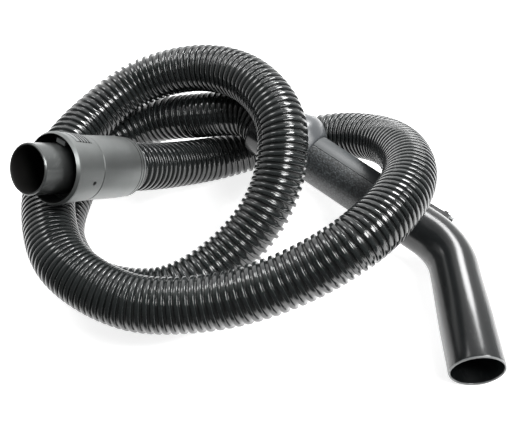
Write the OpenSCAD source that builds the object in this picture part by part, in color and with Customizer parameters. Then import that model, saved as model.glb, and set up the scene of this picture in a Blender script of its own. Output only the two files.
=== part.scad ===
// Vacuum cleaner hose: a ribbed hose lying in its coils, with a latching swivel
// connector for the machine at one end and a bent handle with a suction slider at
// the other. Millimetres, +Z up, standing on Z = 0.

/* [Hose] */
// Outside diameter over the ribs
hose_d = 38; // [36:0.5:38.4]
// Depth of a rib from its crest to its root
rib_depth = 1.7; // [1:0.1:2]
// Bore of the hose across its corners
hose_bore_d = 31.6; // [28:0.2:32]
// Ribs along the free hose
rib_count = 190; // [60:2:198]

/* [Machine connector] */
// Outside diameter of the spigot that enters the machine
spigot_d = 34.4; // [33.6:0.2:35]
// Wall of the spigot
spigot_wall = 1.8; // [1.2:0.1:2.4]
// Length of spigot standing out of the collar
spigot_reach = 20; // [12:1:30]
// Outside diameter of the collar at its mouth
collar_mouth_d = 50; // [48.6:0.2:54]
// Length of the front collar
collar_length = 27.5; // [26:0.5:36]
// Wall of the collar
collar_wall = 1.8; // [1.4:0.1:2]
// Width of the thickened band round the collar's mouth
rim_band = 4; // [2:0.5:5]
// Wall of the rear sleeve round the cuff's flange
sleeve_wall = 1.35; // [1.2:0.05:1.6]
// Narrowing of the rear sleeve at its end, where the hose leaves
sleeve_taper = 0.7; // [0.3:0.1:0.8]
// Length over which the rear sleeve narrows
sleeve_taper_length = 14; // [8:1:18]
// Length of the rear sleeve
sleeve_length = 44; // [42:0.5:52]
// Distance of the spigot's web and its pegs in front of the sleeve
web_setback = 6.6; // [5:0.2:8]

/* [Latch button] */
// Width of the button across the collar
latch_width = 16; // [12:0.5:17]
// Length of the pressed pad behind the pin
pad_length = 12.3; // [10:0.1:13]
// Length of the hook in front of the pin
hook_length = 7.5; // [5:0.5:8]
// Distance of the pin behind the collar's mouth
latch_setback = 9.5; // [9:0.1:11]
// Diameter of the hinge pin
latch_pin_d = 2; // [1.6:0.1:2.4]
// Serrations across the pad
serrations = 4; // [2:1:4]

/* [Hose cuffs] */
// Wall of the threaded cuff on each end of the hose
cuff_wall = 1.5; // [1.2:0.1:1.6]
// Depth of hose screwed into the machine cuff
machine_screw_depth = 20; // [14:0.5:22]
// Depth of hose screwed into the handle cuff
handle_screw_depth = 20; // [16:0.5:21]
// Thickness of the flange that holds a cuff while it swivels
swivel_flange = 2.5; // [1.6:0.1:3]
// Length of a cuff's nozzle past its flange
nozzle_length = 12; // [9:0.5:12.5]

/* [Handle] */
// Outside diameter of the smooth ring round the hose
cap_d = 48; // [47:0.2:50]
// Length of the smooth ring round the hose
cap_length = 14; // [10:0.5:16]
// Outside diameter of the neck where it is widest
neck_d = 53.2; // [50:0.2:54]
// Distance of the neck's end from the ring's rim
neck_end = 52; // [48:0.5:54]
// Offset of the neck's widest place towards the slider's side
neck_offset = 2.8; // [1:0.2:3]
// Outside diameter of the grip
grip_d = 38; // [37.4:0.2:38.6]
// Length of the grip from the neck's end
grip_length = 68; // [64:1:72]
// Angle of the smooth upper shell, measured round the grip
upper_angle = 218; // [160:2:230]
// Width of the groove between the grip's shells
shell_groove = 0.4; // [0.2:0.1:1]

/* [Wand] */
// Outside diameter of the wand
wand_d = 36; // [35.6:0.1:36.6]
// Outside diameter of the wand's end, which a tube or a tool goes over
wand_end_d = 38; // [36.6:0.2:39]
// Bore of the wand
wand_bore_d = 32.4; // [30:0.2:32.8]
// Wall of the wand's duct inside the grip
duct_wall = 1.2; // [0.8:0.1:1.4]
// Distance of the bend's start from the ring's rim
bend_start = 160; // [152:1:172]
// Radius of the bend at the wand's centre
bend_radius = 42; // [34:1:60]
// Angle of the bend
bend_angle = 52; // [40:1:60]
// Length of the straight wand past the bend
wand_reach = 83; // [60:1:120]
// Length of the wand's end beyond its widening
wand_end_length = 32; // [24:1:40]
// Length over which the wand widens
wand_flare = 46; // [20:1:50]

/* [Suction slider] */
// Width of the rail along the handle's top
rail_width = 13; // [11:0.5:15]
// Height of the rail over the wand's surface at its rear end
rail_rear_height = 3; // [2.4:0.1:4]
// Height of the rail over the wand's surface at its front end
rail_front_height = 7.5; // [7:0.1:9]
// Distance of the rail's rear end from the ring's rim
rail_start = 70; // [62:1:78]
// Length of the rail
rail_length = 100; // [92:1:106]
// Length of the slider
slider_length = 22; // [20:0.5:26]
// Thickness of the slider above the rail's tongue
slider_height = 4; // [3:0.1:4.5]
// Travel of the slider towards the hand
slider_travel = 14; // [10:0.5:16]
// Length of the vent under the slider
vent_length = 8; // [5:0.5:9]
// Width of the vent under the slider
vent_width = 3.5; // [2:0.25:5]

/* [Hidden] */
$fn = 96;

// Clearances: pieces that turn or slide on each other, pieces fitted for good, the
// hose's crests in the thread of its cuff, and the joints between mouldings.
running = 0.05;
fitted = 0.02;
thread_gap = 0.3;
joint_gap = 0.2;
tiny = 0.01;

// Where the hose leaves each end piece, and how that piece points.
machine_rim = [-101, 33, 68];
machine_azimuth = 232;
machine_rise = 33;
handle_rim = [4, 97.5, 59.15];
handle_azimuth = -38;
handle_fall = 10.4;
handle_roll = -2.75;

// The points that the free hose passes through between its two rims.
route = [
    [-74, 70, 38], [-36, 102, 19], [16, 120, 21], [67, 114, 35], [98, 78, 59],
    [108, 29, 82], [99, -23, 97], [66, -65, 94], [20, -80, 70], [-31, -84, 52],
    [-85, -80, 48], [-131, -53, 55], [-152, -3, 58], [-155, 51, 59], [-137, 102, 61],
    [-98, 134, 76], [-47, 129, 93], [-5, 96, 102], [18, 49, 94], [11, 6, 63],
    [-22, -26, 33], [-68, -49, 20], [-121, -40, 19], [-152, 3, 19], [-154, 58, 19],
    [-140, 110, 22], [-94, 132, 35], [-46, 117, 54], [-10, 108, 62]
];
sides = 8;
bore_spacing = 18;
ground_reach = 2.6;

// Radii of the cuffs, which are the same at both ends of the hose.
crest_r = hose_d / 2;
root_r = crest_r - rib_depth;
bore_r = hose_bore_d / 2;
cuff_bore_r = crest_r + thread_gap;
cuff_r = cuff_bore_r + cuff_wall;
cuff_shoulder = 1.5;
machine_flange_r = cuff_r + 0.8;
handle_flange_r = cuff_r + 1.2;
nozzle_bore_r = bore_r - 0.4;
nozzle_r = nozzle_bore_r + 1.3;
seal_wall = 0.6;
seal_length = 3.6;
seal_setback = 5;
socket_r = nozzle_r + seal_wall + fitted;
socket_wall = 1.6;

// Machine connector, measured from the hose's rim towards the machine.
machine_flange_z = machine_screw_depth + cuff_shoulder;
machine_flange_end = machine_flange_z + swivel_flange;
machine_nozzle_end = machine_flange_end + nozzle_length;
collar_z = sleeve_length;
mouth_z = collar_z + collar_length;
spigot_end = mouth_z + spigot_reach;
spigot_r = spigot_d / 2;
spigot_bore_r = spigot_r - spigot_wall;
chamber_r = machine_flange_r + running;
sleeve_r = chamber_r + sleeve_wall;
mouth_r = collar_mouth_d / 2;
collar_bore_r = sleeve_r - collar_wall;
mouth_bore_r = mouth_r - collar_wall;
web_r = collar_bore_r - fitted;
web_z = collar_z + web_setback;
web_thick = 4;
web_end = web_z + web_thick;
lip_length = 2;
lip_r = sleeve_r - 3.2;
keeper_r = sleeve_r - collar_wall;
keeper_length = 2.4;
peg_d = 3;
peg_count = 3;
peg_angle = 87;

// The collar flares evenly from the sleeve to the band at its mouth.
collar_edge_r = mouth_r - 0.4;
function collar_r(z) = sleeve_r
    + (collar_edge_r - sleeve_r) * (z - collar_z) / (collar_length - rim_band);

// Latch button: a rocker with its serrated pad behind the pin and its hook in front.
pin_z = mouth_z - latch_setback;
pin_height = 2.85;
pin_r = spigot_r + pin_height;
boss_r = latch_pin_d / 2 + 1.2;
pad_front = 2;
pad_wall = 1.8;
pad_proud = 0.3;
serration_margin = 2.5;
hook_width = 8;
hook_wall = 1.6;
hook_clearance = 0.7;
ear_wall = 2.4;
window_gap = 0.4;
pin_length = latch_width + 2 * window_gap + 2 * ear_wall - 1;
pocket_floor = spigot_r + 1.2;
serration_pitch = 2.75;
spring_turns = 4;
spring_steps = 8;
wire_sides = 6;
spring_wire = 0.5;
spring_d = 4;

// Handle, measured from the ring's rim towards the wand.
handle_flange_z = handle_screw_depth + cuff_shoulder;
handle_flange_end = handle_flange_z + swivel_flange;
handle_nozzle_end = handle_flange_end + nozzle_length;
handle_socket_z = handle_flange_end + 3;
handle_socket_end = handle_nozzle_end + 1.5;
tenon_r = handle_flange_r + running + 0.95;
tenon_z = 6;
ring_seat = 3;
cap_r = cap_d / 2;
neck_r = neck_d / 2;
wand_r = wand_d / 2;
wand_bore_r = wand_bore_d / 2;
wand_end_r = wand_end_d / 2;
wand_wall = wand_r - wand_bore_r;
duct_r = wand_bore_r + duct_wall;
grip_r = grip_d / 2;
grip_start = neck_end + 0.1;
grip_end = neck_end + grip_length;

// The rail's own frame starts on its top at its rear end.
rail_tilt = atan((rail_front_height - rail_rear_height) / rail_length);
slider_start = rail_length - slider_length;
recess_start = slider_start - slider_travel - 0.5;
cheek_wall = 1.6;
cheek_reach = 1.9;
cheek_lip = 0.8;
edge_cut = 1.2;
lip_depth = 0.9;
nub_width = 10.5;
nub_length = 3.5;
nub_setback = 2.8;
nub_height = 1.8;
nose_ribs = 3;

// ---- Placing ----

module at_machine() {
    translate(machine_rim) rotate([0, 90 - machine_rise, machine_azimuth]) children();
}

module at_handle() {
    translate(handle_rim)
        rotate([0, 90 + handle_fall, handle_azimuth])
            rotate([0, 0, handle_roll]) children();
}

module at_bend() {
    translate([0, -bend_radius, bend_start]) rotate([90, 0, 90]) children();
}

module past_bend() {
    translate([0, bend_radius * (cos(bend_angle) - 1), bend_start + bend_radius * sin(bend_angle)])
        rotate([bend_angle, 0, 0]) children();
}

module on_rail() {
    translate([0, wand_r + rail_rear_height, rail_start]) rotate([-rail_tilt, 0, 0]) children();
}

// A box on the connector's latch side, which is its local -X side.
module latch_box(low_r, high_r, width, low_z, high_z) {
    translate([-high_r, -width / 2, low_z]) cube([high_r - low_r, width, high_z - low_z]);
}

// A wedge about the local +Y direction, which is the slider's side of the handle.
module wedge(reach, low, high, angle) {
    far = 2 * reach;
    half = angle / 2;
    translate([0, 0, low]) linear_extrude(high - low) polygon([[0, 0],
        [far * sin(-half), far * cos(half)], [-far, far], [far, far],
        [far * sin(half), far * cos(half)]]);
}

// ---- The hose's line ----

function along(azimuth, rise) =
    [cos(rise) * cos(azimuth), cos(rise) * sin(azimuth), sin(rise)];
machine_axis = along(machine_azimuth, machine_rise);
handle_axis = along(handle_azimuth, -handle_fall);
line = concat([machine_rim], route, [handle_rim]);
spans = len(line) - 1;

// Direction of the line at point i for the span from j to k.
function pull(i, j, k) = let(chord = norm(line[k] - line[j]))
    i == 0 ? -machine_axis * chord
    : i == spans ? handle_axis * chord
    : chord * (line[i + 1] - line[i - 1])
        / (norm(line[i + 1] - line[i]) + norm(line[i] - line[i - 1]));

function blend(a, b, u, v, t) = a * (2 * t * t * t - 3 * t * t + 1) + b * (3 * t * t - 2 * t * t * t)
    + u * (t * t * t - 2 * t * t + t) + v * (t * t * t - t * t);

// Point of the line at s, which counts the spans of the free hose and runs past
// either end along the piece's own axis in millimetres.
function spot(s) = s <= 0 ? line[0] - machine_axis * s
    : s >= spans ? line[spans] + handle_axis * (s - spans)
    : let(i = min(floor(s), spans - 1))
        blend(line[i], line[i + 1], pull(i, i, i + 1), pull(i + 1, i, i + 1), s - i);

// Length along the line, and the place on it at a length.
steps = 6;
samples = [for (i = [0:steps * spans]) spot(i / steps)];
lengths = [for (i = [1:len(samples) - 1]) norm(samples[i] - samples[i - 1])];
free_length = lengths * [for (i = lengths) 1];
table = [for (i = 0, sum = 0; i < len(samples);
    sum = sum + (i < len(lengths) ? lengths[i] : 0), i = i + 1) [sum, i / steps]];
function place(mm) = mm <= 0 ? mm : mm >= free_length ? spans + mm - free_length : lookup(mm, table);

function unit(v) = v / norm(v);
function heading(s) = s <= 0 ? -machine_axis : s >= spans ? handle_axis
    : unit(spot(min(s + 0.01, spans)) - spot(max(s - 0.01, 0)));

// A ring of corners about the line, with a flat side down. What nearly reaches the
// ground lies flat on it.
function corners(mm, r) =
    let(s = place(mm), p = spot(s), t = heading(s), side = unit(cross(t, [0, 0, 1])), up = cross(side, t))
    [for (k = [0:sides - 1])
        let(a = 360 * (k + 0.5) / sides, q = p + r * (cos(a) * side + sin(a) * up))
        [q[0], q[1], q[2] < ground_reach ? 0 : q[2]]];

// Rings along the hose: crest and root in turn over the free length, plain where a
// cuff holds it.
bore_rings = round(free_length / bore_spacing);
outer_stops = concat([-machine_screw_depth],
    [for (i = [0:2 * rib_count]) i * free_length / (2 * rib_count)],
    [free_length + handle_screw_depth]);
inner_stops = concat([-machine_screw_depth],
    [for (i = [0:bore_rings]) i * free_length / bore_rings],
    [free_length + handle_screw_depth]);
function rib_r(i) = i % 2 == 1 || i == 0 ? crest_r : i > 2 * rib_count ? crest_r : root_r;

module hose() {
    outer_rings = len(outer_stops);
    inner_rings = len(inner_stops);
    outside = [for (i = [0:outer_rings - 1]) each corners(outer_stops[i], rib_r(i))];
    inside = [for (mm = inner_stops) each corners(mm, bore_r)];
    first_inner = outer_rings * sides;
    last_outer = first_inner - sides;
    last_inner = first_inner + (inner_rings - 1) * sides;
    faces = concat(
        [for (i = [0:outer_rings - 2], k = [0:sides - 1])
            let(a = i * sides + k, b = i * sides + (k + 1) % sides)
            each [[a, b, b + sides], [a, b + sides, a + sides]]],
        [for (i = [0:inner_rings - 2], k = [0:sides - 1])
            let(a = first_inner + i * sides + k, b = first_inner + i * sides + (k + 1) % sides)
            each [[a, b + sides, b], [a, a + sides, b + sides]]],
        [for (k = [0:sides - 1]) let(n = (k + 1) % sides)
            each [[k, first_inner + k, first_inner + n], [k, first_inner + n, n],
                [last_outer + k, last_outer + n, last_inner + n],
                [last_outer + k, last_inner + n, last_inner + k]]]);
    color([0.09, 0.1, 0.11]) polyhedron(points = concat(outside, inside), faces = faces);
}

// The hose's length, and the least gap between two of its turns.
apart = 2 * steps;
turn_gaps = [for (i = [0:len(samples) - apart - 1], j = [i + apart:len(samples) - 1])
    norm(samples[i] - samples[j]) - hose_d];
echo(hose_length = free_length + machine_screw_depth + handle_screw_depth);
echo(least_gap_between_turns = min(turn_gaps));

// ---- Cuffs on the hose ----

// A threaded cuff: the hose's socket, a flange that holds it while it turns, and a
// nozzle that carries the air on.
module cuff(rim, depth, rim_r) {
    flange = depth + cuff_shoulder;
    flange_end = flange + swivel_flange;
    tip = flange_end + nozzle_length;
    rotate_extrude() polygon([
        [cuff_bore_r, rim], [cuff_r, rim], [cuff_r, flange],
        [rim_r, flange], [rim_r, flange_end], [nozzle_r + 1, flange_end],
        [nozzle_r, flange_end + 1], [nozzle_r, tip], [nozzle_bore_r, tip],
        [nozzle_bore_r, depth], [cuff_bore_r, depth]]);
}

// A lip seal round a nozzle, with a lip that flares against its socket.
module seal(low) {
    lip = socket_r - fitted;
    rotate_extrude() polygon([
        [nozzle_r + fitted, low], [lip - 0.25, low], [lip - 0.25, low + 1.5],
        [lip, low + 2.2], [lip, low + 3.2], [nozzle_r + fitted, low + seal_length]]);
}

module machine_cuff() {
    color([0.62, 0.63, 0.63]) at_machine() cuff(-1.5, machine_screw_depth, machine_flange_r);
}

module machine_seal() {
    color([0.15, 0.15, 0.15]) at_machine() seal(machine_nozzle_end - seal_setback);
}

module handle_cuff() {
    color([0.12, 0.12, 0.13]) at_handle() cuff(-1, handle_screw_depth, handle_flange_r);
}

module handle_seal() {
    color([0.15, 0.15, 0.15]) at_handle() seal(handle_nozzle_end - seal_setback);
}

// ---- Machine connector ----

// The spigot runs back through the collar to the socket for the cuff's nozzle. A web
// joins it to the collar, and a keeper behind the web holds the sleeve's halves.
module machine_spigot() {
    socket_z = machine_flange_end + 4;
    keeper_end = collar_z - lip_length - running;
    color([0.42, 0.43, 0.44]) at_machine() {
        difference() {
            rotate_extrude() polygon([
                [socket_r, socket_z], [socket_r + socket_wall, socket_z],
                [socket_r + socket_wall, keeper_end - keeper_length],
                [keeper_r, keeper_end - keeper_length], [keeper_r, keeper_end],
                [lip_r - fitted, keeper_end], [lip_r - fitted, collar_z + joint_gap],
                [web_r, collar_z + joint_gap], [web_r, collar_z + joint_gap + 1.6],
                [spigot_r, collar_z + joint_gap + 1.6], [spigot_r, web_z],
                [web_r, web_z], [web_r, web_end], [spigot_r, web_end],
                [spigot_r, spigot_end - 1], [spigot_r - 0.6, spigot_end],
                [spigot_bore_r + 0.4, spigot_end], [spigot_bore_r, spigot_end - 1],
                [spigot_bore_r, machine_nozzle_end + 2], [socket_r, machine_nozzle_end + 1]]);
            latch_box(pocket_floor, sleeve_r, latch_width + 2, web_z - 1, web_end + 1);
        }
        for (k = [0:peg_count - 1])
            rotate([0, 0, peg_angle - 90 * k]) translate([spigot_r + 1, 0, web_z + web_thick / 2])
                rotate([0, 90, 0]) cylinder(d = peg_d, h = sleeve_r - spigot_r - 1.3, $fn = 32);
    }
}

module front_collar() {
    band_z = mouth_z - rim_band;
    color([0.45, 0.46, 0.47]) at_machine() difference() {
        union() {
            rotate_extrude() polygon([
                [collar_bore_r, collar_z + joint_gap], [sleeve_r - 0.4, collar_z + joint_gap],
                [sleeve_r, collar_z + joint_gap + 0.4], [collar_edge_r, band_z],
                [mouth_r, band_z + 0.5], [mouth_r, mouth_z - 2], [mouth_r - 1.4, mouth_z],
                [mouth_bore_r, mouth_z], [mouth_bore_r, band_z], [collar_bore_r, web_end]]);
            latch_ears();
        }
        latch_box(sleeve_r / 2, collar_mouth_d, latch_width + 2 * window_gap,
            pin_z - pad_length - window_gap, pin_z + pad_front + window_gap);
        latch_axis() translate([0, 0, -pin_length / 2 - fitted])
            cylinder(d = latch_pin_d + 2 * fitted, h = collar_mouth_d, $fn = 32);
        for (k = [0:peg_count - 1])
            rotate([0, 0, peg_angle - 90 * k]) translate([spigot_r + 2, 0, web_z + web_thick / 2])
                rotate([0, 90, 0]) cylinder(d = peg_d + 0.2, h = mouth_r, $fn = 32);
    }
}

// Line of the hinge pin, across the connector under the button.
module latch_axis() {
    translate([-pin_r, 0, pin_z]) rotate([90, 0, 0]) children();
}

// Ears inside the collar that carry the pin.
module latch_ears() {
    intersection() {
        for (side = [-1, 1])
            translate([-sleeve_r, side * (latch_width / 2 + window_gap + ear_wall / 2 + 0.1) - ear_wall / 2,
                pin_z - boss_r - 0.3])
                cube([sleeve_r - pin_r + boss_r, ear_wall, 2 * boss_r + 0.6]);
        cylinder(r = collar_r(pin_z) - 0.6, h = mouth_z);
    }
}

module latch_pin() {
    color([0.75, 0.75, 0.76]) at_machine()
        latch_axis() cylinder(d = latch_pin_d, h = pin_length, center = true, $fn = 48);
}

// The rocker: a serrated pad that follows the collar, a boss on the pin, and a hook
// that reaches forward inside the collar.
module latch_button() {
    back = pin_z - pad_length;
    front = pin_z + pad_front;
    color([0.4, 0.41, 0.42]) at_machine() difference() {
        union() {
            intersection() {
                rotate_extrude() polygon([
                    [collar_r(back) + pad_proud - pad_wall, back], [collar_r(back) + pad_proud - 0.4, back],
                    [collar_r(back) + pad_proud, back + 0.5], [collar_r(front) + pad_proud, front - 0.5],
                    [collar_r(front) + pad_proud - 0.4, front], [collar_r(front) + pad_proud - pad_wall, front]]);
                latch_box(0, collar_mouth_d, latch_width, back, front);
            }
            latch_axis() cylinder(r = boss_r, h = latch_width - 1, center = true, $fn = 48);
            latch_box(pin_r, collar_r(pin_z) - 0.8, latch_width - 1, pin_z - 1.5, pin_z + 1.5);
            latch_box(pin_r - hook_wall / 2, pin_r + hook_wall / 2, hook_width, pin_z, pin_z + hook_length);
            latch_box(spigot_r + hook_clearance, pin_r, hook_width,
                pin_z + hook_length - 2, pin_z + hook_length);
        }
        latch_axis() cylinder(d = latch_pin_d + 2 * running, h = latch_width + 2, center = true, $fn = 48);
        for (k = [0:serrations - 1])
            let(z = pin_z - 2 - serration_pitch * k)
            latch_box(collar_r(z) - 0.1, collar_mouth_d, latch_width - 2 * serration_margin, z - 0.4, z + 0.4);
    }
}

// A small coil between the spigot's pocket and the pad.
module latch_spring() {
    seat_z = pin_z - pad_length + 3.6;
    low = pocket_floor + 0.15;
    high = collar_r(seat_z) + pad_proud - pad_wall - 0.35;
    rings = spring_turns * spring_steps;
    wire = spring_wire / 2;
    points = [for (i = [0:rings])
        let(a = 360 * i / spring_steps, h = low + wire + (high - low - 2 * wire) * i / rings)
        each [for (k = [0:wire_sides - 1])
            let(b = 360 * k / wire_sides, r = spring_d / 2 - wire + wire * cos(b))
            [-(h + wire * sin(b)), r * cos(a), r * sin(a)]]];
    faces = concat(
        [for (i = [0:rings - 1], k = [0:wire_sides - 1])
            let(a = i * wire_sides + k, b = i * wire_sides + (k + 1) % wire_sides)
            each [[a, b + wire_sides, b], [a, a + wire_sides, b + wire_sides]]],
        [for (k = [1:wire_sides - 2]) [0, k, k + 1]],
        [for (k = [1:wire_sides - 2])
            [rings * wire_sides, rings * wire_sides + k + 1, rings * wire_sides + k]]);
    color([0.75, 0.75, 0.76]) at_machine()
        translate([0, 0, seat_z]) polyhedron(points = points, faces = faces);
}

// The rear sleeve is two half shells that close round the cuff's flange and the
// spigot's keeper.
module sleeve_shell() {
    end_r = sleeve_r - sleeve_taper;
    rotate_extrude() polygon([
        [cuff_r + running, 0], [end_r - 1, 0], [end_r - 0.3, 0.4], [end_r, 1.2],
        [sleeve_r - 0.3 * sleeve_taper, 0.65 * sleeve_taper_length], [sleeve_r, sleeve_taper_length],
        [sleeve_r, collar_z - 0.4], [sleeve_r - 0.4, collar_z],
        [lip_r, collar_z], [lip_r, collar_z - lip_length], [chamber_r, collar_z - lip_length],
        [chamber_r, machine_flange_z - running], [cuff_r + running, machine_flange_z - running]]);
}

module sleeve_upper_half() {
    color([0.47, 0.48, 0.49]) at_machine() difference() {
        sleeve_shell();
        translate([-tiny, -2 * sleeve_r, -1]) cube([2 * sleeve_r, 4 * sleeve_r, sleeve_length + 2]);
    }
}

module sleeve_lower_half() {
    color([0.47, 0.48, 0.49]) at_machine() difference() {
        sleeve_shell();
        translate([tiny - 2 * sleeve_r, -2 * sleeve_r, -1]) cube([2 * sleeve_r, 4 * sleeve_r, sleeve_length + 2]);
    }
}

// ---- Handle ----

neck_bore_r = handle_flange_r + running;

// Ring that holds the cuff's flange in the neck.
module retaining_ring() {
    color([0.6, 0.6, 0.6]) at_handle() translate([0, 0, ring_seat + fitted]) difference() {
        height = handle_flange_z - running - ring_seat - fitted;
        cylinder(r = neck_bore_r - fitted, h = height);
        translate([0, 0, -1]) cylinder(r = cuff_r + running, h = height + 2);
    }
}

// Smooth ring that closes the neck round the hose.
module cuff_cap() {
    round_r = 2;
    color([0.1, 0.1, 0.11]) at_handle() rotate_extrude() polygon(concat(
        [[cuff_r + running, 0]],
        [for (a = [0:15:90]) [cap_r - round_r + round_r * sin(a), round_r - round_r * cos(a)]],
        [[cap_r, cap_length], [tenon_r + fitted, cap_length], [tenon_r + fitted, tenon_z],
            [neck_bore_r, tenon_z], [neck_bore_r, ring_seat], [cuff_r + running, ring_seat]]));
}

// The neck: a tenon inside the ring, then a body that swells towards the slider's
// side and narrows to the grip in a long shoulder.
slice = 0.1;
neck_round = 4.6;

module neck_slice(z, r, offset) {
    translate([0, offset, z]) cylinder(r = r, h = slice, $fn = 48);
}

module neck_ring() {
    start = cap_length + joint_gap;
    swell = neck_end - start;
    color([0.11, 0.12, 0.13]) at_handle() difference() {
        union() {
            translate([0, 0, tenon_z + joint_gap]) cylinder(r = tenon_r, h = start);
            hull() {
                neck_slice(start, cap_r - 0.3, 0);
                neck_slice(start + 0.31 * swell, neck_r - 1, 0.57 * neck_offset);
                neck_slice(start + 0.59 * swell, neck_r, neck_offset);
                neck_slice(start + 0.71 * swell, neck_r - 0.13 * neck_round, 0.93 * neck_offset);
                neck_slice(start + 0.81 * swell, neck_r - 0.52 * neck_round, 0.79 * neck_offset);
                neck_slice(start + 0.91 * swell, neck_r - neck_round, 0.57 * neck_offset);
                neck_slice(neck_end - slice, grip_r + 0.9, 0.21 * neck_offset);
            }
        }
        cylinder(r = neck_bore_r, h = handle_flange_end + running);
        cylinder(r = socket_r + socket_wall + fitted, h = handle_socket_end + fitted);
        cylinder(r = duct_r + fitted, h = neck_end + 1);
    }
}

// The wand: a socket for the cuff's nozzle, a duct inside the grip, then the bright
// tube, its bend and its mouth. The bend's wall is thinner, where the tube is drawn
// round it, and the straight parts lap its ends.
seam = 0.15;
lap = 0.5;

module wand_tube() {
    color([0.08, 0.09, 0.1]) at_handle() difference() {
        union() {
            translate([0, 0, handle_socket_z])
                cylinder(r = socket_r + socket_wall, h = handle_socket_end - handle_socket_z);
            translate([0, 0, handle_socket_end - 1]) cylinder(r = duct_r, h = grip_end - handle_socket_end + 1.5);
            translate([0, 0, grip_end + 0.3]) cylinder(r = wand_r, h = bend_start + lap - grip_end - 0.3);
            at_bend() rotate_extrude(angle = bend_angle) translate([bend_radius, 0]) circle(r = wand_r - seam);
            past_bend() wand_end();
        }
        translate([0, 0, handle_socket_z - 1]) cylinder(r = socket_r, h = handle_nozzle_end + 1 - handle_socket_z + 1);
        translate([0, 0, handle_nozzle_end]) cylinder(r = wand_bore_r, h = bend_start + lap - handle_nozzle_end);
        at_bend() rotate_extrude(angle = bend_angle) translate([bend_radius, 0]) circle(r = wand_bore_r + seam);
        past_bend() wand_end_bore();
        vent();
    }
}

// Straight wand past the bend: it widens to its end, which has a chamfered mouth.
module wand_end() {
    end_z = wand_reach - wand_end_length;
    rotate_extrude() polygon([[0, -lap], [wand_r, -lap], [wand_r, end_z - wand_flare],
        [wand_end_r, end_z], [wand_end_r, wand_reach - 1], [wand_end_r - 0.4, wand_reach],
        [0, wand_reach]]);
}

// Its bore, with a stop for what is pushed into the mouth.
module wand_end_bore() {
    stop_z = wand_reach - wand_end_length + 2;
    rotate_extrude() polygon([[0, -lap], [wand_bore_r, -lap], [wand_bore_r, stop_z - 3],
        [wand_end_r - wand_wall, stop_z], [wand_end_r - wand_wall, wand_reach + 1],
        [0, wand_reach + 1]]);
}

// The bleed vent, cut through the wand and the rail's tongue.
vent_setback = 5;

module vent() {
    on_rail() translate([-vent_width / 2, -wand_r, rail_length - vent_setback - vent_length])
        cube([vent_width, wand_r + 2, vent_length]);
}

// The grip's wall round the duct, as one ring.
module grip_wall() {
    rotate_extrude() polygon([
        [duct_r + fitted, grip_start], [grip_r, grip_start], [grip_r, grip_end - 4],
        [grip_r - 0.5, grip_end], [duct_r + fitted, grip_end]]);
}

// Grained shell round the hand's side of the grip.
module grip_lower_shell() {
    color([0.13, 0.13, 0.14]) at_handle() difference() {
        grip_wall();
        wedge(grip_r + 1, neck_end - 1, grip_end + 1, upper_angle);
    }
}

// Smooth shell on the slider's side, cut out for the rail's foot.
module grip_upper_shell() {
    groove_angle = shell_groove / grip_r * 180 / PI;
    color([0.16, 0.17, 0.18]) at_handle() difference() {
        intersection() {
            grip_wall();
            wedge(grip_r + 1, neck_end - 1, grip_end + 1, upper_angle - 2 * groove_angle);
        }
        on_rail() translate([-rail_width / 2 - fitted, -grip_r, -fitted])
            cube([rail_width + 2 * fitted, 2 * grip_r, rail_length]);
    }
}

// Cuts the long top edges of the rail or the slider.
module edge_cuts(width, low, high) {
    for (side = [-1, 1])
        translate([side * width / 2, 0, low - tiny]) rotate([0, 0, 45])
            translate([-edge_cut / sqrt(2), -edge_cut / sqrt(2), 0])
                cube([sqrt(2) * edge_cut, sqrt(2) * edge_cut, high - low + 2 * tiny]);
}

// The rail: a bar that rises along the handle, with a low tongue for the slider.
module slider_rail() {
    tongue_half = rail_width / 2 - cheek_wall;
    root_half = tongue_half - cheek_lip;
    groove_top = -slider_height - cheek_reach + lip_depth;
    groove_low = -slider_height - cheek_reach - 0.2;
    run = rail_length - recess_start + 1;
    color([0.07, 0.07, 0.08]) at_handle() difference() {
        on_rail() difference() {
            rotate([0, -90, 0]) translate([0, 0, -rail_width / 2]) linear_extrude(rail_width)
                polygon([[0, -wand_r], [0, -2], [0.6, -0.8], [2.4, 0], [recess_start, 0],
                    [recess_start, -slider_height], [rail_length - 3, -slider_height],
                    [rail_length - 2, -slider_height - 1], [rail_length - 2, -wand_r]]);
            for (side = [-1, 1]) {
                translate([side > 0 ? tongue_half : -rail_width, -slider_height - cheek_reach - 0.2, recess_start])
                    cube([rail_width - tongue_half, cheek_reach + 1.2, run]);
                translate([side > 0 ? root_half : -rail_width, groove_low, recess_start])
                    cube([rail_width - root_half, groove_top - groove_low, run]);
            }
            edge_cuts(rail_width, 0, recess_start);
        }
        cylinder(r = duct_r + fitted, h = grip_end + 0.3 + fitted);
        cylinder(r = wand_r + fitted, h = rail_start + 2 * rail_length);
        vent();
    }
}

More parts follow.
